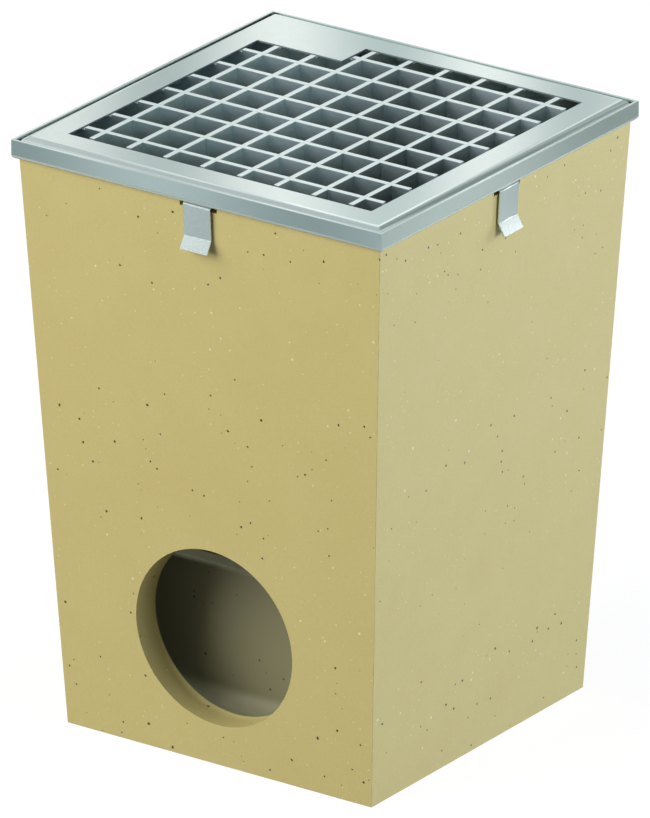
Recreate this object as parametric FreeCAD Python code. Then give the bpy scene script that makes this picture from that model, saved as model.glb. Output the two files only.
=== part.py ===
"""Square point drain: a cast pot with an outlet and a silt weir, a sheet-steel edge frame
held on by strip clips, and a grating of half-lapped bars under a folded cover.

Millimetres, +Z up. The origin is the centre of the underside, and the outlet faces -Y.
"""
import FreeCAD, Part
import math
import os
from FreeCAD import Vector

# Pot, cast in polymer concrete. Each side leans out by the taper over the height, and the wall is measured level.
POT_H = 409.6
POT_TAPER = 21.05
POT_WALL = 22.5
POT_FLOOR = 22.0
POT_CORNER_R = 16.0
POT_FOOT_R = 12.0
POT_EDGE_R = 0.5

# Outlet bore through the -Y wall
OUTLET_D = 128.0
OUTLET_Z = 93.7

# Weir across the pot behind the outlet. Its setback is from the wall's inner face, at the weir's top.
WEIR_TOP_Z = 118.0
WEIR_T = 16.0
WEIR_SETBACK = 37.0
WEIR_DRAFT = 3.0
WEIR_EDGE_R = 3.0

# Edge frame, folded from sheet: an upright flange over a foot that points inwards. It stands out past
# the pot's top by the overhang.
FRAME_W = 300.0
FRAME_OVERHANG = 3.8
FRAME_T = 2.0
FRAME_FLANGE_H = 13.65
FRAME_FOOT_W = 25.0
FRAME_BEND_R = 3.0

# Strip clips, one in the middle of each side. The gap is from the pot's top edge to the leg,
# which leans in towards the pot by the lean over its height.
CLIP_W = 22.0
CLIP_T = 1.2
CLIP_GAP = 1.25
CLIP_ARM_L = 16.0
CLIP_LEG_H = 23.6
CLIP_LEAN = 1.4
CLIP_KICK_DROP = 8.6
CLIP_KICK_OUT = 5.0
CLIP_BEND_R = 2.0

# Notches in the pot's top edge, which let the clips' arms out under the foot
NOTCH_W = 30.0
NOTCH_DEPTH = 3.8
NOTCH_END_GAP = 1.0

# Grating cover: a flat border with its edge rolled down into a skirt, and a tab in one corner of its opening
COVER_T = 1.5
COVER_BORDER_W = 22.95
COVER_SIDE_GAP = 2.2
COVER_FOOT_GAP = 1.0
COVER_ROLL_R = 5.0
TAB_L = 69.5
TAB_W = 28.6

# Grating bars, flat strips on edge. The edge gap is from the opening's edge to the first bar's side,
# and each lap has a little room on both sides of the crossing bar.
BAR_H = 13.15
BAR_T = 4.0
BAR_COUNT = 8
BAR_EDGE_GAP = 15.85
BAR_END_GAP = 1.0
BAR_NOTCH_GAP = 2.1
LAP_GAP = 0.05

# Widths, levels and faces that the pieces share
POT_TOP_W = FRAME_W - 2 * FRAME_OVERHANG
POT_BASE_W = POT_TOP_W - 2 * POT_TAPER
FOOT_TOP_Z = POT_H + FRAME_T
RIM_TOP_Z = POT_H + FRAME_FLANGE_H
GRATE_TOP_Z = FOOT_TOP_Z + BAR_H
COVER_UNDER_Z = GRATE_TOP_Z - COVER_T
COVER_SKIRT_Z = FOOT_TOP_Z + COVER_FOOT_GAP
LAP_Z = FOOT_TOP_Z + BAR_H / 2
COVER_HALF = FRAME_W / 2 - FRAME_T - COVER_SIDE_GAP
OPENING_HALF = COVER_HALF - COVER_BORDER_W
TAB_EDGE_X = -OPENING_HALF + TAB_L
TAB_EDGE_Y = OPENING_HALF - TAB_W
BAR_HALF_L = COVER_HALF - COVER_T - BAR_END_GAP
BAR_PITCH = (2 * OPENING_HALF - 2 * BAR_EDGE_GAP - BAR_T) / (BAR_COUNT - 1)
CLIP_FACE = POT_TOP_W / 2 + CLIP_GAP + CLIP_T

# Cutting blocks run this far past the faces that they cut
PAST = 5.0
NEAR = 0.001


def pot_half(z):
    """Half the pot's outside width at height z, on the straight lean of its sides."""
    return (POT_BASE_W + (POT_TOP_W - POT_BASE_W) * z / POT_H) / 2


def outline(points):
    """Closed polygon through the points."""
    return Part.makePolygon(points + points[:1])


def prism(points, direction):
    """Solid swept from a closed outline along a direction."""
    return Part.Face(outline(points)).extrude(direction)


def square(half, z):
    """Corners of a level square about the centre line."""
    return [Vector(-half, -half, z), Vector(half, -half, z), Vector(half, half, z), Vector(-half, half, z)]


def square_block(half, z_low, z_high):
    """Upright square block about the centre line."""
    return prism(square(half, z_low), Vector(0, 0, z_high - z_low))


def leaning_block(inset, z_low, z_high):
    """Block between two levels whose sides follow the pot's lean, set in by an inset."""
    low = pot_half(z_low) - inset
    high = pot_half(z_high) - inset
    block = Part.makeWedge(-low, z_low, -low, -high, -high, low, z_high, low, high, high)
    block.rotate(Vector(0, 0, 0), Vector(1, 0, 0), 90)
    return block


def level_edges(shape, z):
    """Edges that lie at one height."""
    return [e for e in shape.Edges if all(abs(v.Point.z - z) < NEAR for v in e.Vertexes)]


def rising_edges(shape, z_low, z_high):
    """Edges that run from one height up to another."""
    levels = (z_low, z_high)
    found = []
    for edge in shape.Edges:
        heights = sorted(v.Point.z for v in edge.Vertexes)
        if len(heights) == 2 and all(abs(h - z) < NEAR for h, z in zip(heights, levels)):
            found.append(edge)
    return found


def quarter_turned(shape, turns):
    """Copy of a shape, turned about the centre line by quarter turns."""
    turned = shape.copy()
    turned.rotate(Vector(0, 0, 0), Vector(0, 0, 1), 90 * turns)
    return turned


def weir_faces(z):
    """Y of the weir's front and back face at height z. Both lean in towards its top."""
    front = -(pot_half(WEIR_TOP_Z) - POT_WALL) + WEIR_SETBACK
    spread = WEIR_DRAFT * (WEIR_TOP_Z - z) / (WEIR_TOP_Z - POT_FLOOR)
    return front - spread, front + WEIR_T + spread


def rounded_path(points, radii):
    """Wire through the points with a tangent arc at each inner point, each of its own radius."""
    edges = []
    start = points[0]
    for before, corner, after, radius in zip(points, points[1:], points[2:], radii):
        back = (before - corner).normalize()
        ahead = (after - corner).normalize()
        half_angle = back.getAngle(ahead) / 2
        to_centre = (back + ahead).normalize()
        arc_start = corner + back * (radius / math.tan(half_angle))
        arc_end = corner + ahead * (radius / math.tan(half_angle))
        arc_middle = corner + to_centre * (radius / math.sin(half_angle) - radius)
        edges.append(Part.makeLine(start, arc_start))
        edges.append(Part.Arc(arc_start, arc_middle, arc_end).toShape())
        start = arc_end
    edges.append(Part.makeLine(start, points[-1]))
    return Part.Wire(edges)


def weir():
    """The weir as one long block with a rounded top and a foot that curves into the floor, before the
    pot's sides trim it."""
    front_low, back_low = weir_faces(POT_FLOOR)
    front_top, back_top = weir_faces(WEIR_TOP_Z)
    x = -POT_TOP_W / 2
    front_end = Vector(x, front_low - POT_FOOT_R, POT_FLOOR)
    back_end = Vector(x, back_low + POT_FOOT_R, POT_FLOOR)
    over = rounded_path([front_end, Vector(x, front_low, POT_FLOOR),
                         Vector(x, front_top, WEIR_TOP_Z), Vector(x, back_top, WEIR_TOP_Z),
                         Vector(x, back_low, POT_FLOOR), back_end],
                        [POT_FOOT_R, WEIR_EDGE_R, WEIR_EDGE_R, POT_FOOT_R])
    below = Vector(0, 0, -PAST)
    under = Part.makePolygon([back_end, back_end + below, front_end + below, front_end])
    return Part.Face(Part.Wire(over.Edges + under.Edges)).extrude(Vector(POT_TOP_W, 0, 0))


def pot_hollow():
    """The inside of the pot: rounded corners and floor edge, and a bay on each side of the weir."""
    hollow = leaning_block(POT_WALL, POT_FLOOR, POT_H + PAST)
    hollow = hollow.makeFillet(POT_CORNER_R, rising_edges(hollow, POT_FLOOR, POT_H + PAST))
    hollow = hollow.makeFillet(POT_FOOT_R, level_edges(hollow, POT_FLOOR))
    return hollow.cut(weir())


def outlet_bore():
    """Round cutter along Y, from outside the -Y wall to the middle of the outlet bay."""
    bay_y = weir_faces(OUTLET_Z)[0] - WEIR_SETBACK / 2
    start = Vector(0, -pot_half(POT_H) - PAST, OUTLET_Z)
    return Part.makeCylinder(OUTLET_D / 2, bay_y - start.y, start, Vector(0, 1, 0))


def clip_notch():
    """Cutter for the notch at the -Y clip: as long as the clip's arm and a little room."""
    y_out = -CLIP_FACE - PAST
    y_in = -CLIP_FACE + CLIP_ARM_L + NOTCH_END_GAP
    corner = Vector(-NOTCH_W / 2, y_out, POT_H - NOTCH_DEPTH)
    return Part.makeBox(NOTCH_W, y_in - y_out, NOTCH_DEPTH + PAST, corner)


def body():
    """The cast pot, with its hollow, outlet and notches."""
    pot = leaning_block(0, 0, POT_H)
    pot = pot.makeFillet(POT_EDGE_R, rising_edges(pot, 0, POT_H) + level_edges(pot, 0))
    notches = [quarter_turned(clip_notch(), turn) for turn in range(4)]
    return pot.cut([pot_hollow(), outlet_bore()] + notches)


def frame():
    """The edge frame, bent along its lower outer edge, with its foot on the pot's top."""
    outside = square_block(FRAME_W / 2, POT_H, RIM_TOP_Z)
    outside = outside.makeFillet(FRAME_BEND_R, level_edges(outside, POT_H))
    seat = square_block(FRAME_W / 2 - FRAME_T, FOOT_TOP_Z, RIM_TOP_Z + PAST)
    seat = seat.makeFillet(FRAME_BEND_R - FRAME_T, level_edges(seat, FOOT_TOP_Z))
    mouth = square_block(FRAME_W / 2 - FRAME_FOOT_W, POT_H - PAST, RIM_TOP_Z)
    return outside.cut([seat, mouth])


def clip():
    """The -Y clip: an arm under the foot, a leg down the pot's face and an end kicked outwards."""
    x = -CLIP_W / 2
    arm_end = Vector(x, -CLIP_FACE + CLIP_ARM_L, POT_H)
    shoulder = Vector(x, -CLIP_FACE, POT_H)
    kink = shoulder + Vector(0, CLIP_LEAN, -CLIP_LEG_H)
    tip = kink + Vector(0, -CLIP_KICK_OUT, -CLIP_KICK_DROP)
    path = rounded_path([arm_end, shoulder, kink, tip], [CLIP_BEND_R, CLIP_BEND_R])
    section = path.makeOffset2D(-CLIP_T, fill=True, openResult=True)
    return section.extrude(Vector(CLIP_W, 0, 0))


def grate_cover():
    """The folded cover, with its rolled edge, skirt, opening and corner tab."""
    outside = square_block(COVER_HALF, COVER_SKIRT_Z, GRATE_TOP_Z)
    outside = outside.makeFillet(COVER_ROLL_R, level_edges(outside, GRATE_TOP_Z))
    inside = square_block(COVER_HALF - COVER_T, COVER_SKIRT_Z - PAST, COVER_UNDER_Z)
    inside = inside.makeFillet(COVER_ROLL_R - COVER_T, level_edges(inside, COVER_UNDER_Z))
    z = COVER_SKIRT_Z
    opening = square(OPENING_HALF, z)[:3]
    opening += [Vector(TAB_EDGE_X, OPENING_HALF, z), Vector(TAB_EDGE_X, TAB_EDGE_Y, z),
                Vector(-OPENING_HALF, TAB_EDGE_Y, z)]
    return outside.cut([inside, prism(opening, Vector(0, 0, BAR_H))])


def bar_places():
    """Centre lines of one row of bars, spaced evenly about the middle."""
    return [(i - (BAR_COUNT - 1) / 2) * BAR_PITCH for i in range(BAR_COUNT)]


def bar_along_x(low_notch, high_notch, slot_low_z, slot_high_z):
    """Bar on the X axis: a strip cut down under the cover outside its two notch ends, with its
    outer corners cropped to clear the rolled edge, and slotted where the other row crosses it."""
    y = -BAR_T / 2
    crop = COVER_ROLL_R - COVER_T
    profile = [(-BAR_HALF_L, FOOT_TOP_Z), (BAR_HALF_L, FOOT_TOP_Z),
               (BAR_HALF_L, COVER_UNDER_Z - crop), (BAR_HALF_L - crop, COVER_UNDER_Z),
               (high_notch, COVER_UNDER_Z), (high_notch, GRATE_TOP_Z),
               (low_notch, GRATE_TOP_Z), (low_notch, COVER_UNDER_Z),
               (-BAR_HALF_L + crop, COVER_UNDER_Z), (-BAR_HALF_L, COVER_UNDER_Z - crop)]
    strip = prism([Vector(along, y, z) for along, z in profile], Vector(0, BAR_T, 0))
    slot_w = BAR_T + 2 * LAP_GAP
    slots = [Part.makeBox(slot_w, 2 * BAR_T, slot_high_z - slot_low_z,
                          Vector(place - slot_w / 2, -BAR_T, slot_low_z)) for place in bar_places()]
    return strip.cut(slots)


def cross_bar(place):
    """Bar along X at one Y, slotted from below. Under the tab its -X end is cut down further in."""
    notch = OPENING_HALF - BAR_NOTCH_GAP
    under_tab = place + BAR_T / 2 + BAR_NOTCH_GAP > TAB_EDGE_Y
    low_notch = TAB_EDGE_X + BAR_NOTCH_GAP if under_tab else -notch
    bar = bar_along_x(low_notch, notch, FOOT_TOP_Z - PAST, LAP_Z)
    bar.translate(Vector(0, place, 0))
    return bar


def bearing_bar(place):
    """Bar along Y at one X, slotted from above. Under the tab its +Y end is cut down further in."""
    notch = OPENING_HALF - BAR_NOTCH_GAP
    under_tab = place - BAR_T / 2 - BAR_NOTCH_GAP < TAB_EDGE_X
    high_notch = TAB_EDGE_Y - BAR_NOTCH_GAP if under_tab else notch
    bar = quarter_turned(bar_along_x(-notch, high_notch, LAP_Z, GRATE_TOP_Z + PAST), 1)
    bar.translate(Vector(place, 0, 0))
    return bar


def pieces():
    """Every piece of the drain by name."""
    made = {"body": body(), "frame": frame(), "grate_cover": grate_cover()}
    for turn, side in enumerate(("front", "right", "back", "left")):
        made["clip_" + side] = quarter_turned(clip(), turn)
    for number, place in enumerate(bar_places(), start=1):
        made[f"bearing_bar_{number}"] = bearing_bar(place)
        made[f"cross_bar_{number}"] = cross_bar(place)
    return made


os.makedirs("parts", exist_ok=True)
for name, shape in pieces().items():
    shape.exportStep(f"parts/{name}.step")
    print(name, "solids", len(shape.Solids), "valid", shape.isValid(), "cm3", round(shape.Volume / 1000, 2))
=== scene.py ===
# %% [markdown]
# # A square point drain, dressed from its solids
#
# The real thing is a cast pot of resin-bound sand, with a steel edge frame on top, four strip clips that
# hold the frame, and a grating of crossed bars under a folded cover. The solids already have their true
# shapes and sizes, so this lesson is about finish: what each surface is made of, what it mirrors, and how
# the light falls. We load the solids first.

# %% Load the solids
import math
import bpy
import numpy as np
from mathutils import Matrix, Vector


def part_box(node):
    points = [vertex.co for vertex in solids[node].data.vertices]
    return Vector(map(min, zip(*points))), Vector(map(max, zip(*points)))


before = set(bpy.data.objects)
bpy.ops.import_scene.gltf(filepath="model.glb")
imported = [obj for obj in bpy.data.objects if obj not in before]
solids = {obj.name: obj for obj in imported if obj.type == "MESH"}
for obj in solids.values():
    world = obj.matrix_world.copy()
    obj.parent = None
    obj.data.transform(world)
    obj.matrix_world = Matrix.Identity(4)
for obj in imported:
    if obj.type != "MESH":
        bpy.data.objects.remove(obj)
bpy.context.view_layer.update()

# %% [markdown]
# ## The camera
#
# The picture was taken from far away with a long lens, so upright edges stay almost parallel. A camera
# close by would spread them. The direction is given as an azimuth round the drain and a height above the
# horizon, and the lens is long enough for the drain to fill most of the picture's height.

# %% Camera
VIEW_AZIMUTH = math.radians(35.166)
VIEW_ELEVATION = math.radians(22.008)
VIEW_DISTANCE = 9.85
VIEW_CENTRE = Vector((0.0, 0.0, 0.21575))
SENSOR_MM = 36.0
LENS_MM = 646.2
SHIFT_X = -0.0013

scene = bpy.context.scene
view_back = Vector((math.sin(VIEW_AZIMUTH) * math.cos(VIEW_ELEVATION),
                    -math.cos(VIEW_AZIMUTH) * math.cos(VIEW_ELEVATION),
                    math.sin(VIEW_ELEVATION)))
camera_data = bpy.data.cameras.new("camera")
camera_data.sensor_width = SENSOR_MM
camera_data.lens = LENS_MM
camera_data.shift_x = SHIFT_X
camera = bpy.data.objects.new("camera", camera_data)
camera.location = VIEW_CENTRE + view_back * VIEW_DISTANCE
camera.rotation_euler = (-view_back).to_track_quat("-Z", "Y").to_euler()
scene.collection.objects.link(camera)
scene.camera = camera
scene.view_settings.view_transform = "Standard"
print("camera at", [round(c, 3) for c in camera.location])

# %% [markdown]
# ## A short hand for shader nodes
#
# A procedural material is a small graph. Writing each node as three lines hides the idea, so one helper
# adds a node, sets its properties, and fills its sockets either with a number or with a link. The others
# are the few nodes that come up again and again: a remap, a mix, a sum, a vector's axes, noise, cells, bump.

# %% Node helpers
# Places of the colour sockets on a Mix node.
MIX_SHARE = 0
MIX_FIRST = 6
MIX_SECOND = 7
MIX_RESULT = 2


def put(tree, kind, inputs=None, **settings):
    """Adds one node. Settings are its properties. Inputs maps a socket's name or number to a value, or
    to another node's output, which is then linked."""
    node = tree.nodes.new(kind)
    for name, value in settings.items():
        setattr(node, name, value)
    for key, value in (inputs or {}).items():
        if isinstance(value, bpy.types.NodeSocket):
            tree.links.new(value, node.inputs[key])
        else:
            node.inputs[key].default_value = value
    return node


def new_finish(name):
    """A material with a bare Principled shader: returns the material, its tree, the shader, and the point
    that is shaded, in the drain's own metres."""
    material = bpy.data.materials.new(name)
    material.use_nodes = True
    tree = material.node_tree
    where = put(tree, "ShaderNodeTexCoord").outputs["Object"]
    return material, tree, tree.nodes["Principled BSDF"], where


def spread(tree, value, low, high, to_low=0.0, to_high=1.0):
    """Remaps a value linearly from one range to another, held at the ends."""
    sockets = {"Value": value, "From Min": low, "From Max": high, "To Min": to_low, "To Max": to_high}
    return put(tree, "ShaderNodeMapRange", sockets).outputs["Result"]


def blend(tree, share, first, second, mode="MIX"):
    """Mixes two colours by a share from 0 to 1."""
    sockets = {MIX_SHARE: share, MIX_FIRST: first, MIX_SECOND: second}
    return put(tree, "ShaderNodeMix", sockets, data_type="RGBA", blend_type=mode).outputs[MIX_RESULT]


def reckon(tree, operation, *values):
    """One sum on numbers or links: MULTIPLY_ADD, for one, is the first times the second plus the third."""
    return put(tree, "ShaderNodeMath", dict(enumerate(values)), operation=operation).outputs[0]


def axes_of(tree, vector):
    """The X, Y and Z of a vector."""
    return put(tree, "ShaderNodeSeparateXYZ", {"Vector": vector}).outputs


def noise(tree, where, per_metre, detail, roughness=0.5):
    """Cloudy noise of so many lumps per metre. Its outputs are Fac and Color."""
    sockets = {"Vector": where, "Scale": per_metre, "Detail": detail, "Roughness": roughness}
    return put(tree, "ShaderNodeTexNoise", sockets).outputs


def cells_of(tree, where, per_metre):
    """Splits space into so many cells per metre. Returns how far a point is from the centre of its cell, as
    a share of a cell, and the cell's random numbers, which go by Red, Green and Blue."""
    cells = put(tree, "ShaderNodeTexVoronoi", {"Vector": where, "Scale": per_metre}).outputs
    return cells["Distance"], put(tree, "ShaderNodeSeparateColor", {"Color": cells["Color"]}).outputs


def bump(tree, shader, height, strength, depth):
    """Tilts the shader's normal along the slopes of a height that is so many metres deep."""
    tilted = put(tree, "ShaderNodeBump", {"Height": height, "Strength": strength, "Distance": depth})
    tree.links.new(tilted.outputs["Normal"], shader.inputs["Normal"])


print("node helpers ready")

# %% [markdown]
# ## Polymer concrete
#
# The pot is sand and stone dust set in resin: an even straw yellow with faint cloudy mottling, and here
# and there a dark or a pale grain at the skin. A picture of specks would stretch over the sloping walls.
# A cell pattern in the drain's own metres cuts each grain out of space instead, so grains come out round,
# at one scale, on every face. A grain is the ball round a cell's centre; the skin slices some of them. A
# second, finer pattern adds the small pale grains between them.
#
# Inside the pot, deeper than the walls are thick, the colour is painted darker and greyer and shows no pale
# grains: a painted shade for the dim light in there. It is told from the outside by its depth under the
# leaning outer walls.

# %% Grains and the painted inside shade
GRAIN_RIM = 0.85
POT_TAPER = 0.02105
# How deep under the outer walls the inside's painted shade begins, and its soft edge.
INSIDE_DEPTH = 0.0220
INSIDE_FADE = 0.0005
BASE_FADE = (0.010, 0.012)

pot_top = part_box("body")[1]
pot_foot_half = pot_top.x - POT_TAPER
pot_lean = POT_TAPER / pot_top.z


def grain_mask(tree, where, cells_per_metre, radii):
    """Share of grain at a point: 1 within a cell's own radius of its centre and 0 outside, with a soft rim.
    The radius is drawn between two. Also returns another of the cell's random numbers, to sort grains by."""
    distance, chance = cells_of(tree, where, cells_per_metre)
    radius = spread(tree, chance["Red"], 0.0, 1.0, *radii)
    inner = reckon(tree, "MULTIPLY", radius, GRAIN_RIM)
    return spread(tree, distance, radius, inner), chance["Green"]


def reach_of(tree, where):
    """The larger of |x| and |y|: a square distance from the upright axis."""
    axes = axes_of(tree, where)
    across = reckon(tree, "ABSOLUTE", axes["X"])
    along = reckon(tree, "ABSOLUTE", axes["Y"])
    return reckon(tree, "MAXIMUM", across, along)


def painted_inside_shade(tree, where):
    """Share of painted inside shade at a point: 1 where the depth under the leaning outer wall comes within
    a hair of the wall's thickness or passes it, and 0 on the underside of the base. The depth is the half
    width at that height, a straight line, less the reach."""
    height = axes_of(tree, where)["Z"]
    half = reckon(tree, "MULTIPLY_ADD", height, pot_lean, pot_foot_half)
    depth = reckon(tree, "SUBTRACT", half, reach_of(tree, where))
    deep = spread(tree, depth, INSIDE_DEPTH - INSIDE_FADE, INSIDE_DEPTH)
    return reckon(tree, "MULTIPLY", deep, spread(tree, height, *BASE_FADE))


print("pot half width in mm", round(pot_foot_half * 1000, 2), "at the foot, lean", round(pot_lean, 5))

# %% [markdown]
# ## The pot's colour and skin
#
# The layers go on in the order in which the eye finds them: clouds, sand, pale grains, the painted shade of
# the inside, and last the dark grains, which show inside as well as outside. The same noise that tints the
# sand also raises it by a hair, so that the gloss breaks up.

# %% Polymer concrete
STRAW_LIGHT = (0.561, 0.482, 0.198, 1.0)
STRAW_DEEP = (0.544, 0.462, 0.185, 1.0)
SAND_TINT = (0.95, 0.95, 0.93, 1.0)
GRAIN_DARK = (0.050, 0.040, 0.018, 1.0)
GRAIN_PALE = (0.700, 0.650, 0.410, 1.0)
# Painted shade: the darker, greyer colour of the pot's inside.
INSIDE_SHADE_GREY = (0.200, 0.190, 0.108, 1.0)
CLOUDS_PER_METRE = 20.0
CLOUD_RANGE = (0.35, 0.65)
SAND_PER_METRE = 640.0
NOISE_RANGE = (0.3, 0.7)
JITTER_PER_METRE = 900.0
JITTER = (0.0011, 0.0011, 0.0011)
GRAINS_PER_METRE = 108.0
GRAIN_RADII = (0.03, 0.125)
FINES_PER_METRE = 185.0
FINE_RADII = (0.03, 0.11)
DARK_SHARE = 0.62
POT_ROUGH = (0.44, 0.54)
POT_SPECULAR = 0.8
SAND_BUMP = 0.10
SAND_DEPTH = 0.0004


def polymer_concrete():
    """Resin-bound sand: two straw tones in soft clouds, grains at the skin, and a fine sandy relief."""
    material, tree, shader, where = new_finish("polymer_concrete_straw")
    clouds = noise(tree, where, CLOUDS_PER_METRE, detail=6.0, roughness=0.62)["Fac"]
    sand = noise(tree, where, SAND_PER_METRE, detail=3.0)["Fac"]
    colour = blend(tree, spread(tree, clouds, *CLOUD_RANGE), STRAW_LIGHT, STRAW_DEEP)
    sandy = blend(tree, 1.0, colour, SAND_TINT, "MULTIPLY")
    colour = blend(tree, spread(tree, sand, *NOISE_RANGE), colour, sandy)

    jitter = noise(tree, where, JITTER_PER_METRE, detail=1.0)["Color"]
    bent = put(tree, "ShaderNodeVectorMath", {0: jitter, 1: JITTER, 2: where},
               operation="MULTIPLY_ADD").outputs[0]
    grains, sort = grain_mask(tree, bent, GRAINS_PER_METRE, GRAIN_RADII)
    dark = reckon(tree, "MULTIPLY", grains, reckon(tree, "LESS_THAN", sort, DARK_SHARE))
    pale = reckon(tree, "SUBTRACT", grains, dark)
    fines, _ = grain_mask(tree, bent, FINES_PER_METRE, FINE_RADII)
    # Painted shade: this mask darkens and greys the inside of the pot.
    shade_inside = painted_inside_shade(tree, where)
    for share, layer in [(pale, GRAIN_PALE), (fines, GRAIN_PALE), (shade_inside, INSIDE_SHADE_GREY), (dark, GRAIN_DARK)]:
        colour = blend(tree, share, colour, layer)
    tree.links.new(colour, shader.inputs["Base Color"])

    tree.links.new(spread(tree, clouds, *NOISE_RANGE, *POT_ROUGH), shader.inputs["Roughness"])
    shader.inputs["Specular IOR Level"].default_value = POT_SPECULAR
    bump(tree, shader, sand, SAND_BUMP, SAND_DEPTH)
    return material


solids["body"].data.materials[0] = polymer_concrete()
print("pot finished in", solids["body"].data.materials[0].name)

# %% [markdown]
# ## Where the zinc differs, and the painted shade on the bars
#
# Some parts of a steel piece are finished otherwise, and a mask finds each by its place or its slope: the
# frame's lower fold, where the zinc is crazed; and the sheared edges round the cover's opening, where bare
# steel shows. The sides of the bars, found by their slope, get painted shade. These sides are not all alike
# either. Painted dull and bright stretches, which stand for shade and reflection, follow each other over the
# grating in broad slanting bands, and the sides change once more towards two of its corners. Painting bars
# one by one would show as steps, so a band is a function of place.

# %% Masks on the steel
FOLD_HEIGHT = 0.003
CUT_REACH = 0.130
MASK_FADE = 0.001
UPRIGHT_RISE = (0.3, 0.5)
BEARING_LEAN = 0.45
BEARING_BAND = (-0.015, 0.069)
CROSS_LEAN = 0.7
CROSS_WAVE = 0.180
CROSS_PHASE = -0.52
CORNER_LEAN = 1.0
CORNER_NEAR = 0.060
CORNER_FAR = 0.180


def below_fold(tree, where):
    """1 below the height of the frame's lower fold, 0 above it."""
    fold_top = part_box("frame")[0][2] + FOLD_HEIGHT
    return spread(tree, axes_of(tree, where)["Z"], fold_top - MASK_FADE, fold_top, 1.0, 0.0)


def upright_face(tree, where, share=1.0):
    """A share on faces that stand upright, 0 on those that lie flat: by the rise of the face's normal. The
    place makes no difference, but all masks are called alike."""
    normal = put(tree, "ShaderNodeNewGeometry").outputs["True Normal"]
    rise = reckon(tree, "ABSOLUTE", axes_of(tree, normal)["Z"])
    return reckon(tree, "MULTIPLY", share, spread(tree, rise, *UPRIGHT_RISE, 1.0, 0.0))


def cut_edge(tree, where):
    """1 on the upright sheared edges round the cover's opening, which lie inside its border."""
    inside = spread(tree, reach_of(tree, where), CUT_REACH - MASK_FADE, CUT_REACH, 1.0, 0.0)
    return upright_face(tree, where, inside)


def slanted(tree, where, lean):
    """Distance across the drain along X, plus a lean times the distance along Y."""
    axes = axes_of(tree, where)
    return reckon(tree, "MULTIPLY_ADD", axes["Y"], lean, axes["X"])


# Painted shade: dark slanting bands on the bearing bars' sides.
def bearing_shade_band(tree, where):
    """Share of painted shade on a bearing bar's sides: it rises over the middle of the grating towards +X.
    """
    rise = spread(tree, slanted(tree, where, BEARING_LEAN), *BEARING_BAND)
    return upright_face(tree, where, rise)


# Painted light and shade: bands on the cross bars' sides, made by how much they mirror.
def cross_light_shade_band(tree, where):
    """Share of a more mirroring finish on a cross bar's sides, laid in bands of painted light and shade: a
    sine across the grating, one wave in six bars.
    """
    place = slanted(tree, where, CROSS_LEAN)
    turn = reckon(tree, "MULTIPLY_ADD", place, 2 * math.pi / CROSS_WAVE, CROSS_PHASE)
    wave = spread(tree, reckon(tree, "SINE", turn), -1.0, 1.0)
    return upright_face(tree, where, wave)


# Towards this corner the bearing bars' sides are painted a mid grey, painted shade laid over the bands;
# there the cross bars only mirror less.
def back_right_corner(tree, where):
    """Share that rises from 0 to 1 on upright faces towards the +X +Y corner."""
    rise = spread(tree, slanted(tree, where, CORNER_LEAN), CORNER_NEAR, CORNER_FAR)
    return upright_face(tree, where, rise)


def front_left_corner(tree, where):
    """Share that rises from 0 to 1 on upright faces towards the -X -Y corner."""
    rise = spread(tree, slanted(tree, where, CORNER_LEAN), -CORNER_NEAR, -CORNER_FAR)
    return upright_face(tree, where, rise)


print("band on the cross bars every", round(CROSS_WAVE * 1000), "mm")

# %% [markdown]
# ## Galvanised steel
#
# Zinc gives steel a cool, slightly green grey. On new sheet the crystals, called spangle, hardly show: they
# shift the tone by a few percent and the gloss a little more. So the sheet gets cell-shaped crystals in
# roughness first and in colour second, and a very slow waviness, because folded sheet is never quite flat.
# The bars are rolled strip: a touch duller, with hardly any spangle and finer grain. Their sides carry a
# painted shade, a tint cooler than the tops, bluer on the cross bars than on the bearing bars. On the
# bearing bars the painted bands of shade change the colour, and on the cross bars only the share of light
# that is mirrored rather than scattered.

# %% Galvanised steel
ZINC_BRIGHT = (0.785, 0.850, 0.838, 1.0)
ZINC_DULL = (0.735, 0.806, 0.795, 1.0)
ZINC_FOLD = (0.600, 0.690, 0.650, 1.0)
ZINC_CUT = (0.210, 0.270, 0.285, 1.0)
STRIP_BRIGHT = (0.890, 0.960, 0.960, 1.0)
STRIP_DULL = (0.820, 0.890, 0.890, 1.0)
# Painted shade and reflection on the bars' sides: a cooler tint for all sides, and darker bands and a darker
# corner on the bearing bars.
BEARING_SIDE_SHADE = (0.850, 0.970, 0.955, 1.0)
BEARING_PAINTED_SHADE = (0.325, 0.378, 0.372, 1.0)
BEARING_CORNER_SHADE = (0.560, 0.650, 0.640, 1.0)
CROSS_SIDE_SHADE = (0.770, 0.910, 0.995, 1.0)
FOLD_METAL = 0.35
CUT_METAL = 0.2
BEARING_METAL = 0.92
CROSS_METAL = 0.86
CROSS_METAL_IN_BAND = 0.93
CROSS_METAL_FRONT = 0.97
CROSS_METAL_BACK = 0.76
SPANGLE_PER_METRE = 150.0
ZINC_GRAIN_PER_METRE = 420.0
WAVES_PER_METRE = 11.0
WAVE_BUMP = 0.5
TONE_RANGE = (0.2, 0.8)
SHEET = {"bright": ZINC_BRIGHT, "dull": ZINC_DULL, "metal": 1.0,
         "spangle": 0.15, "rough": (0.19, 0.23), "wave_depth": 0.0004}
STRIP = {"bright": STRIP_BRIGHT, "dull": STRIP_DULL, "metal": 0.95,
         "spangle": 0.10, "rough": (0.34, 0.42), "wave_depth": 0.0003}
CLIP = {"bright": ZINC_BRIGHT, "dull": ZINC_DULL, "metal": 0.92,
        "spangle": 0.05, "rough": (0.20, 0.24), "wave_depth": 0.0003}


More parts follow.
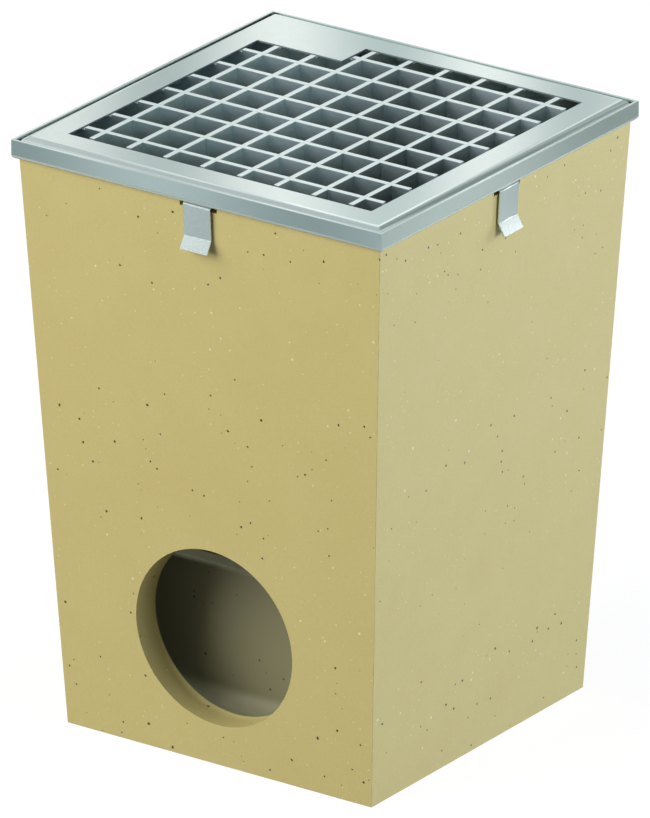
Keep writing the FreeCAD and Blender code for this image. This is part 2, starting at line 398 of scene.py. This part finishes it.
def galvanised(name, bright, dull, metal, spangle, rough, wave_depth, others=()):
    """Zinc-coated steel: spangle cells and fine grain move its tone between two colours and its gloss
    between two roughnesses, and a slow wave its normal. Metal is the share that mirrors rather than
    scatters. Others are parts of the piece that are finished otherwise or carry painted shade: each is a
    mask, a colour and a metal."""
    material, tree, shader, where = new_finish(name)
    _, crystal = cells_of(tree, where, SPANGLE_PER_METRE)
    grain = noise(tree, where, ZINC_GRAIN_PER_METRE, detail=4.0)["Fac"]
    slow = noise(tree, where, WAVES_PER_METRE, detail=2.0)["Fac"]
    tone = blend(tree, spangle, grain, crystal["Red"])
    colour = blend(tree, tone, bright, dull)
    tree.links.new(spread(tree, tone, *TONE_RANGE, *rough), shader.inputs["Roughness"])
    shader.inputs["Metallic"].default_value = metal
    for mask, other_colour, other_metal in others:
        share = mask(tree, where)
        colour = blend(tree, share, colour, other_colour)
        metal = spread(tree, share, 0.0, 1.0, metal, other_metal)
    if others:
        tree.links.new(metal, shader.inputs["Metallic"])
    tree.links.new(colour, shader.inputs["Base Color"])
    bump(tree, shader, slow, WAVE_BUMP, wave_depth)
    return material


cut_parts = [(cut_edge, ZINC_CUT, CUT_METAL)]
fold_parts = [(below_fold, ZINC_FOLD, FOLD_METAL)]
# These masks lay painted shade and reflection on the bars' sides: a tint, bands and corners.
bearing_parts = [(upright_face, BEARING_SIDE_SHADE, BEARING_METAL),
                 (bearing_shade_band, BEARING_PAINTED_SHADE, BEARING_METAL),
                 (back_right_corner, BEARING_CORNER_SHADE, BEARING_METAL)]
cross_parts = [(upright_face, CROSS_SIDE_SHADE, CROSS_METAL),
               (cross_light_shade_band, CROSS_SIDE_SHADE, CROSS_METAL_IN_BAND),
               (front_left_corner, CROSS_SIDE_SHADE, CROSS_METAL_FRONT),
               (back_right_corner, CROSS_SIDE_SHADE, CROSS_METAL_BACK)]
finishes = {"grate": galvanised("galvanised_sheet_bright", **SHEET, others=cut_parts),
            "frame": galvanised("galvanised_sheet_folded", **SHEET, others=fold_parts),
            "bearing": galvanised("galvanised_bearing_strip", **STRIP, others=bearing_parts),
            "cross": galvanised("galvanised_cross_strip", **STRIP, others=cross_parts),
            "clip": galvanised("galvanised_clip", **CLIP)}
steel = {name: solid for name, solid in solids.items() if name != "body"}
for name, solid in steel.items():
    solid.data.materials[0] = finishes[name.split("_")[0]]
print("steel pieces", len(steel), "in", len(finishes), "finishes")

# %% [markdown]
# ## Broken edges
#
# Sheared and sawn steel is never knife-sharp: a hair of rounding catches the light along each edge. The
# solids stay as they are; a Bevel modifier on top takes the arris off. The solids come as loose triangles,
# so a Weld joins them first, and the bevel's angle limit leaves the bends alone.

# %% Edge rounding on the steel
EDGE_ROUND = 0.00028
EDGE_STEPS = 2
EDGE_ANGLE = math.radians(40)
WELD_GAP = 1e-5

for solid in steel.values():
    weld = solid.modifiers.new("join_triangles", "WELD")
    weld.merge_threshold = WELD_GAP
    arris = solid.modifiers.new("broken_edge", "BEVEL")
    arris.width = EDGE_ROUND
    arris.segments = EDGE_STEPS
    arris.limit_method = "ANGLE"
    arris.angle_limit = EDGE_ANGLE
    arris.harden_normals = True
print("edges rounded by", EDGE_ROUND * 1000, "mm")

# %% [markdown]
# ## Floor
#
# A plain pale floor carries the soft shadow under the pot. It is a wide disc, worked out as one array of
# rings and spokes, so that from a low view its edge is far away. It is grey card, which throws little light
# back on the drain. To the camera alone it also glows, which turns its lit part white and leaves the shadow.

# %% Floor
FLOOR_RADIUS = 5.0
FLOOR_RINGS = np.array([1.0, 0.5, 0.1, 0.001])
FLOOR_SPOKES = 96
FLOOR_GREY = (0.14, 0.14, 0.14, 1.0)
FLOOR_GLOW = 0.91


def surface_mesh(name, points):
    """Mesh from a grid of points (rows, columns, 3): quads join neighbours, and the columns close in a
    ring."""
    rows, columns = points.shape[:2]
    index = np.arange(rows * columns).reshape(rows, columns)
    index = np.concatenate([index, index[:, :1]], axis=1)
    quads = np.stack([index[:-1, :-1], index[:-1, 1:], index[1:, 1:], index[1:, :-1]], axis=-1)
    mesh = bpy.data.meshes.new(name)
    mesh.from_pydata(points.reshape(-1, 3).tolist(), [], quads.reshape(-1, 4).tolist())
    mesh.update()
    made = bpy.data.objects.new(name, mesh)
    scene.collection.objects.link(made)
    return made


def revolved(radius, height, columns):
    """Surface of revolution: each pair of radius and height runs round the upright axis as one row."""
    turn = np.linspace(0, 2 * np.pi, columns, endpoint=False)
    return np.stack([np.outer(radius, np.cos(turn)), np.outer(radius, np.sin(turn)),
                     np.outer(height, np.ones_like(turn))], axis=-1)


def empty_tree(owner):
    """The node tree of a material or a sky, cleared of what it starts with."""
    owner.use_nodes = True
    owner.node_tree.nodes.clear()
    return owner.node_tree


floor = surface_mesh("floor", revolved(FLOOR_RADIUS * FLOOR_RINGS, np.zeros_like(FLOOR_RINGS), FLOOR_SPOKES))
floor.visible_glossy = False
floor_finish = bpy.data.materials.new("pale_floor")
floor_tree = empty_tree(floor_finish)
card = put(floor_tree, "ShaderNodeBsdfDiffuse", {"Color": FLOOR_GREY})
by_camera = put(floor_tree, "ShaderNodeLightPath").outputs["Is Camera Ray"]
glow_level = spread(floor_tree, by_camera, 0.0, 1.0, 0.0, FLOOR_GLOW)
card_glow = put(floor_tree, "ShaderNodeEmission", {"Strength": glow_level})
card_seen = put(floor_tree, "ShaderNodeAddShader", {0: card.outputs[0], 1: card_glow.outputs[0]})
put(floor_tree, "ShaderNodeOutputMaterial", {"Surface": card_seen.outputs[0]})
floor.data.materials.append(floor_finish)
print("floor faces", len(floor.data.polygons))

# %% [markdown]
# ## The light of the tent
#
# Steel has hardly a colour of its own: it shows what stands round it. In a plain white room it would be a
# white blank. So the drain stands in a closed round tent of soft upright light strips. The flat border of
# the cover mirrors the tent's upper wall, so the strips there become pale and grey bands across it. The rim
# mirrors the wall below its own height, where the strips are dimmer, and the rounded bends mirror the
# bottom. A few patches do one job each: the wall is dim high up behind the right, which keeps the right bend
# of the cover dark, and dim in front, most of all high up, for the left bend. Low behind the right a small
# patch is bright, for the bent-out foot of the right clip.
#
# All of it is a function of two things: the bearing round the drain, in degrees from +X towards +Y, and
# the height in metres. Hard edges in the light would show as lines in the steel, so it is put together
# from curves that start and end softly.


# %% Soft curves
def ease(x, low, high):
    """Smooth step from 0 at low to 1 at high: 3t^2 - 2t^3 of the share t of the way."""
    t = np.clip((x - low) / (high - low), 0.0, 1.0)
    return t * t * (3 - 2 * t)


def window(x, rise, fall):
    """Product of two smooth steps: up from 0 to 1 over the first pair of values, down over the second."""
    return ease(x, *rise) * ease(x, fall[1], fall[0])


def hump(x, middle, half_width):
    """Bell of height 1 at a middle value, down to a half at one half width from it: 2 to the power of minus
    the square of the distance in half widths."""
    return np.exp(-np.log(2) * ((x - middle) / half_width) ** 2)


def tint(share, colour):
    """A colour times a share at each point."""
    return share[..., None] * np.array(colour)


def strips(bearing, count, turn, dark, bright):
    """Colour between dark and bright by a sine that runs count times round the tent."""
    share = 0.5 + 0.5 * np.sin(count * np.radians(bearing) + turn)
    return tint(1 - share, dark) + tint(share, bright)


print("curves half way up", float(ease(0.5, 0, 1)), float(hump(1.0, 0, 1)))

# %% [markdown]
# ## Walls and bottom of the tent
#
# The upper wall has the most to do, since the whole flat border mirrors it. Its strips are turned against
# each other at the back, so that the bands on the left and on the right of the border have their places
# each by itself. The lower wall is dimmer, with one bright line behind the right corner. The bottom has no
# strips.

# %% Walls and bottom
UPPER_COUNT = 24
UPPER_DARK = (0.48, 0.56, 0.555)
UPPER_BRIGHT = (1.07, 1.08, 1.055)
UPPER_TURN = 4.29
UPPER_SLIDE = 1.2
SLIDE_BEARINGS = (122, 104)
UPPER_LEVEL = 1.06
LEFT_LOSS = 0.14
LEFT_BEARINGS = (122, 136)
CROWN_GAIN = 0.38
CROWN_HEIGHTS = (0.80, 0.95)
CROWN_BEARINGS = (104, 116)

LOWER_COUNT = 18
LOWER_TURN = np.pi / 2
LOWER_DARK = (0.20, 0.27, 0.275)
LOWER_BRIGHT = (0.63, 0.72, 0.715)
LINE_BEARING = 45
LINE_WIDTH = 4
LINE_GAIN = 0.06
GLOOM_RISE = (47, 52)
GLOOM_FALL = (62, 80)
GLOOM_LOSS = 0.05
WARM_WIDTH = 25
WARM_TINT = (0.02, 0.0, -0.015)

BOTTOM_LEVEL = 0.585
BOTTOM_SWING = 0.185
BOTTOM_BEARING = 55
BOTTOM_TINT = (0.97, 1.0, 1.01)


def upper_cloth(bearing, height):
    """The upper strips, turned further on one side of the back than on the other, times a level that is
    lower on the left and a crown that is brighter high up there."""
    turn = UPPER_TURN - UPPER_SLIDE * ease(bearing, *SLIDE_BEARINGS)
    level = UPPER_LEVEL - LEFT_LOSS * ease(bearing, *LEFT_BEARINGS)
    crown = 1 + CROWN_GAIN * ease(height, *CROWN_HEIGHTS) * ease(bearing, *CROWN_BEARINGS)
    return tint(crown * level, strips(bearing, UPPER_COUNT, turn, UPPER_DARK, UPPER_BRIGHT))


def lower_cloth(bearing):
    """The lower strips, plus a bright line at one bearing, less the gloom beside it, plus a warm tint."""
    line = LINE_GAIN * hump(bearing, LINE_BEARING, LINE_WIDTH)
    gloom = GLOOM_LOSS * window(bearing, GLOOM_RISE, GLOOM_FALL)
    warm = tint(hump(bearing, LINE_BEARING, WARM_WIDTH), WARM_TINT)
    plain = strips(bearing, LOWER_COUNT, LOWER_TURN, LOWER_DARK, LOWER_BRIGHT)
    return plain + (line - gloom)[..., None] + warm


def bottom_cloth(bearing):
    """A level that swings once round the tent, as a cosine from its brightest bearing."""
    swing = np.cos(np.radians(bearing - BOTTOM_BEARING))
    return tint(BOTTOM_LEVEL + BOTTOM_SWING * swing, BOTTOM_TINT)


print("strips round the tent", UPPER_COUNT, "above and", LOWER_COUNT, "below")

# %% [markdown]
# ## Patches on the cloth
#
# A patch is dim or bright in one place only. Dim patches multiply what hangs there already, so that the
# strips still show through them, and the bright one is laid on top.

# %% Patches
RIGHT_RISE = (8, 26)
RIGHT_FALL = (44, 122)
RIGHT_HEIGHTS = (0.46, 0.58)
RIGHT_LOSS = (0.70, 0.665, 0.67)
FRONT_RISE = (138, 165)
FRONT_FALL = (290, 330)
FRONT_LOSS = (1.04, 1.0, 0.92)
FRONT_LOW = 0.05
FRONT_LOW_HEIGHTS = (0.46, 0.38)
FRONT_HIGH = 0.32
FRONT_HIGH_HEIGHTS = (0.75, 0.95)
FRONT_BELT = 0.20
FRONT_BELT_HEIGHT = 0.75
FRONT_BELT_WIDTH = 0.07
PATCH_BEARING = 39
PATCH_WIDTH = 6
PATCH_HEIGHT = 0.45
PATCH_SPAN = 0.05
PATCH_LIGHT = (3.30, 3.30, 3.30)
WALL_HEIGHTS = (0.29, 0.40)
BOTTOM_HEIGHTS = (0.18, 0.05)


def dimming(bearing, height):
    """What the two dim patches take away: each is a window in bearing times smooth steps or a bell in
    height. The front is counted from 0 to 360 degrees, because it lies across the half turn."""
    right = window(bearing, RIGHT_RISE, RIGHT_FALL) * ease(height, *RIGHT_HEIGHTS)
    low = FRONT_LOW * ease(height, *FRONT_LOW_HEIGHTS)
    high = FRONT_HIGH * ease(height, *FRONT_HIGH_HEIGHTS)
    belt = FRONT_BELT * hump(height, FRONT_BELT_HEIGHT, FRONT_BELT_WIDTH)
    front = window(bearing % 360, FRONT_RISE, FRONT_FALL) * (low + high + belt)
    return tint(right, RIGHT_LOSS) + tint(front, FRONT_LOSS)


def tent_colour(bearing, height):
    """Light of the tent's cloth: the upper strips, blended by height into the lower ones and these into the
    bottom, then times what the dim patches leave, plus the bright patch, a bell in bearing and height."""
    up = ease(height, *WALL_HEIGHTS)[..., None]
    down = ease(height, *BOTTOM_HEIGHTS)[..., None]
    below = (1 - down) * lower_cloth(bearing) + down * bottom_cloth(bearing)
    light = up * upper_cloth(bearing, height) + (1 - up) * below
    patch = hump(bearing, PATCH_BEARING, PATCH_WIDTH) * hump(height, PATCH_HEIGHT, PATCH_SPAN)
    return light * (1 - dimming(bearing, height)) + tint(patch, PATCH_LIGHT)


print("bright patch at", PATCH_BEARING, "degrees,", PATCH_HEIGHT, "m up")

# %% [markdown]
# ## The tent itself
#
# The tent is one surface of revolution: a foot, an upright wall and a dome. The light of the cloth is worked
# out for all its points at once and stored with them as a colour, which the cloth then sends out. Only
# reflections see the tent: the camera looks through it, and it casts no shadow.

# %% Light tent
TENT_RADIUS = 0.62
TENT_POLE = 0.001
TENT_FOOT = -0.35
TENT_FOOT_RADIUS = 0.3
TENT_SKIRT = 0.15
TENT_EAVES = 1.1
WALL_ROWS = 90
DOME_ROWS = 12
DOME_FIRST = 0.1
DOME_LAST = np.pi / 2 - 0.002
TENT_COLUMNS = 360

foot = np.array([[TENT_POLE, TENT_FOOT], [TENT_FOOT_RADIUS, TENT_FOOT]])
wall_height = np.linspace(TENT_FOOT + TENT_SKIRT, TENT_EAVES, WALL_ROWS)
wall = np.stack([np.full(WALL_ROWS, TENT_RADIUS), wall_height], axis=1)
rise = np.linspace(DOME_FIRST, DOME_LAST, DOME_ROWS)
dome = np.stack([TENT_RADIUS * np.cos(rise), TENT_EAVES + TENT_RADIUS * np.sin(rise)], axis=1)
tent_line = np.concatenate([foot, wall, dome])
tent_points = revolved(tent_line[:, 0], tent_line[:, 1], TENT_COLUMNS)
tent = surface_mesh("light_tent", tent_points)

tent_bearing = np.degrees(np.arctan2(tent_points[..., 1], tent_points[..., 0]))
cloth_rgb = tent_colour(tent_bearing, tent_points[..., 2])
cloth_rgba = np.concatenate([cloth_rgb, np.ones_like(cloth_rgb[..., :1])], axis=-1)
cloth = tent.data.attributes.new("cloth", "FLOAT_COLOR", "POINT")
cloth.data.foreach_set("color", cloth_rgba.astype(np.float32).ravel())
tent.visible_camera = False
tent.visible_diffuse = False
tent.visible_shadow = False
tent.visible_transmission = False

tent_finish = bpy.data.materials.new("tent_cloth")
tent_tree = empty_tree(tent_finish)
tent_light = put(tent_tree, "ShaderNodeAttribute", attribute_name="cloth").outputs["Color"]
tent_glow = put(tent_tree, "ShaderNodeEmission", {"Color": tent_light, "Strength": 1.0})
put(tent_tree, "ShaderNodeOutputMaterial", {"Surface": tent_glow.outputs[0]})
tent.data.materials.append(tent_finish)
print("tent faces", len(tent.data.polygons), "mean cloth", np.round(cloth_rgb.mean((0, 1)), 2).tolist())

# %% [markdown]
# ## Lamps
#
# Big soft lamps stand outside the tent: a broad key in front on the left, a cooler fill on the right, kept
# off the cover and the bars, which it would bleach, and a lamp behind. A small lamp overhead shines down
# through the grating into the pot, so that the outlet shows the lit floor at the foot of the weir. A last
# one is only mirrored, as the sheen on the pot's right face.


# %% Lamps
def soft_lamp(name, place, size, power, colour):
    """A square area lamp at a place, aimed at the middle of the drain. Mirrors don't show it."""
    data = bpy.data.lights.new(name, "AREA")
    data.size = size
    data.energy = power
    data.color = colour
    lamp = bpy.data.objects.new(name, data)
    lamp.location = place
    lamp.rotation_euler = (Vector(place) - VIEW_CENTRE).to_track_quat("Z", "Y").to_euler()
    lamp.visible_camera = False
    lamp.visible_glossy = False
    scene.collection.objects.link(lamp)
    return lamp


def only_on(lamp, lit):
    """Keeps a lamp to the given objects."""
    group = bpy.data.collections.new(lamp.name + "_lit")
    for piece in lit:
        group.objects.link(piece)
    lamp.light_linking.receiver_collection = group


soft_lamp("key_lamp", place=(-2.84, -3.64, 2.13), size=4.7, power=372.0, colour=(1.0, 0.98, 0.94))
fill = soft_lamp("fill_lamp", place=(3.90, 0.14, 1.03), size=2.0, power=115.0, colour=(0.91, 0.97, 1.14))
soft_lamp("back_lamp", place=(1.9, 3.6, 1.3), size=1.6, power=80.0, colour=(0.92, 0.98, 1.08))
top = soft_lamp("top_lamp", place=(0.0, -0.17, 3.5), size=0.3, power=46.0, colour=(0.94, 1.0, 1.02))
sheen = soft_lamp("sheen_lamp", place=(0.75, 1.0, 0.15), size=0.5, power=5.0, colour=(0.95, 1.0, 1.05))
sheen.visible_diffuse = False
under_fill = [solid for name, solid in solids.items() if name.split("_")[0] in ("body", "frame", "clip")]
only_on(fill, under_fill + [floor])
for lamp in (top, sheen):
    lamp.visible_glossy = True
    only_on(lamp, [solids["body"]])

# %% [markdown]
# ## Sky
#
# The sky is plain: white where it is seen, directly or in a mirror, and dimmer as a light, so that colours
# render about as they are written.

# %% Sky
SKY_WHITE = (1.0, 1.0, 1.0, 1.0)
SKY_LIGHT = 0.12

sky = bpy.data.worlds.new("sky")
scene.world = sky
sky_tree = empty_tree(sky)
path = put(sky_tree, "ShaderNodeLightPath").outputs
seen = reckon(sky_tree, "MAXIMUM", path["Is Camera Ray"], path["Is Glossy Ray"])
seen = reckon(sky_tree, "MAXIMUM", seen, path["Is Transmission Ray"])
sky_level = spread(sky_tree, seen, 0.0, 1.0, SKY_LIGHT, 1.0)
sky_glow = put(sky_tree, "ShaderNodeBackground", {"Color": SKY_WHITE, "Strength": sky_level})
put(sky_tree, "ShaderNodeOutputWorld", {"Surface": sky_glow.outputs[0]})
print("sky light", SKY_LIGHT)
